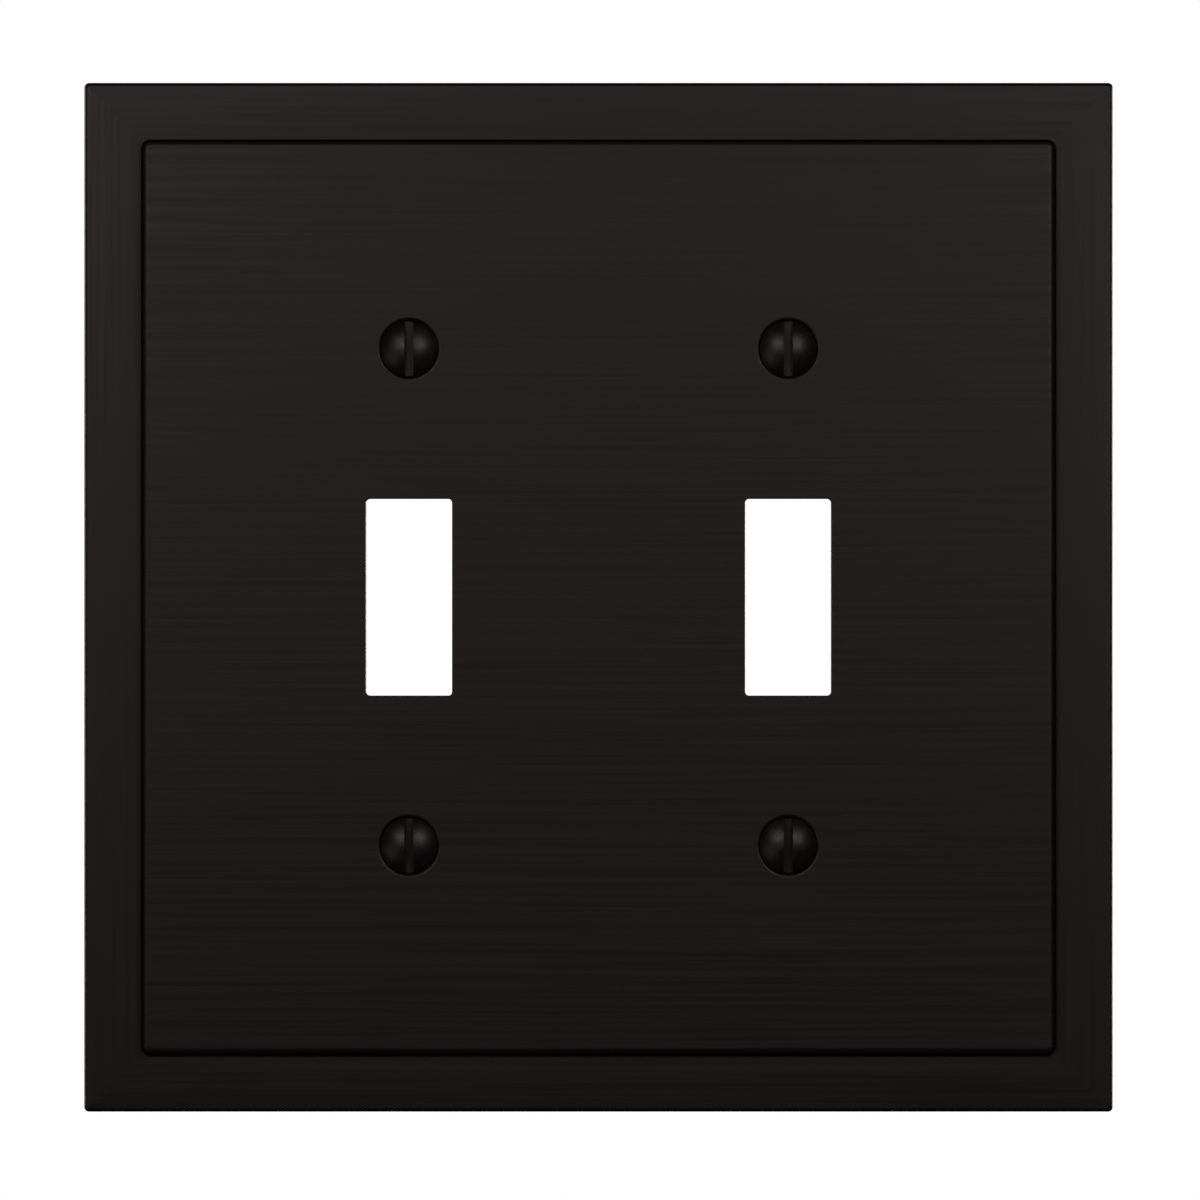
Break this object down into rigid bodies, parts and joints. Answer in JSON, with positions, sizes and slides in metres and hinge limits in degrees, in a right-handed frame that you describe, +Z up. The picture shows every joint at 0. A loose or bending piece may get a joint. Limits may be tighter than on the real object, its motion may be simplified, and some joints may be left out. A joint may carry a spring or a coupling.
{
  "type": "wall plate cover",
  "caption": "Flat cast cover plate for a pair of toggle switches, with a raised centre panel, a stepped border and countersunk oval-head screws.",
  "frame": {"origin": "middle of the plate's rear rim, in the plane of the wall", "axes": "+Y into the wall, -Y out of the wall towards the room, +Z up the wall, +X to the right as seen from the room"},
  "size_m": [0.125, 0.0139, 0.125],
  "materials": {
    "plate_finish": "satin near-black coating over zinc casting, finely brushed",
    "screw_finish": "satin near-black coating over steel"
  },
  "bodies": {
    "plate": {"cover_plate": "plate_finish"},
    "screw_upper_left": {"mounting_screw_upper_left": "screw_finish"},
    "screw_upper_right": {"mounting_screw_upper_right": "screw_finish"},
    "screw_lower_left": {"mounting_screw_lower_left": "screw_finish"},
    "screw_lower_right": {"mounting_screw_lower_right": "screw_finish"}
  },
  "joints": [
    {"name": "screw_upper_left_out", "type": "slide", "parent": "plate", "child": "screw_upper_left", "axis": [0, -1, 0], "range_m": [0, 0.016]},
    {"name": "screw_upper_right_out", "type": "slide", "parent": "plate", "child": "screw_upper_right", "axis": [0, -1, 0], "range_m": [0, 0.016]},
    {"name": "screw_lower_left_out", "type": "slide", "parent": "plate", "child": "screw_lower_left", "axis": [0, -1, 0], "range_m": [0, 0.016]},
    {"name": "screw_lower_right_out", "type": "slide", "parent": "plate", "child": "screw_lower_right", "axis": [0, -1, 0], "range_m": [0, 0.016]}
  ]
}
